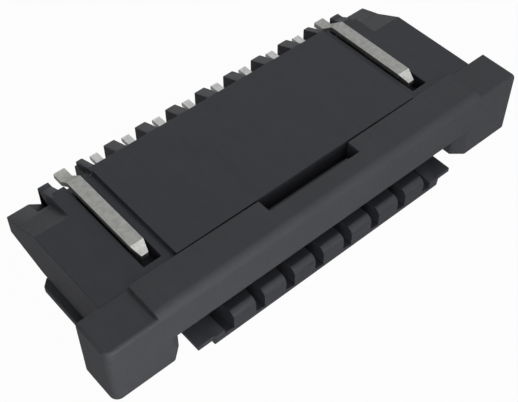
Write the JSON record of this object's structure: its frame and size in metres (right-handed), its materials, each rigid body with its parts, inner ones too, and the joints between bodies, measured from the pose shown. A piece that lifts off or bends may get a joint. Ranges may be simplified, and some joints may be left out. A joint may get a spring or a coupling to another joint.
{
  "type": "flat flexible cable connector",
  "caption": "Right-angle connector for flat flexible cable: a low housing with a row of solder feet behind, and a front slider with two ears that clamps the cable.",
  "frame": {"origin": "under the middle of the connector, on the underside of the lip", "axes": "+X along the row of circuits, -Y towards the cable and the slider, +Z out of the flat top with the nail slots"},
  "size_m": [0.0136, 0.0056, 0.0025],
  "materials": {
    "housing_plastic": "glass-filled moulding, satin black",
    "slider_plastic": "glass-filled moulding, dark grey",
    "contact_metal": "tin plate on copper alloy, matte",
    "nail_metal": "tin plate on copper alloy, matte"
  },
  "bodies": {
    "connector_body": {"housing": "housing_plastic", "contact_1": "contact_metal", "contact_2": "contact_metal", "contact_3": "contact_metal", "contact_4": "contact_metal", "contact_5": "contact_metal", "contact_6": "contact_metal", "contact_7": "contact_metal", "contact_8": "contact_metal", "fitting_nail_left": "nail_metal", "fitting_nail_right": "nail_metal"},
    "slider_body": {"actuator": "slider_plastic"}
  },
  "joints": [
    {"name": "slider_travel", "type": "slide", "parent": "connector_body", "child": "slider_body", "axis": [0, -1, 0], "range_m": [0, 0.0011]}
  ]
}
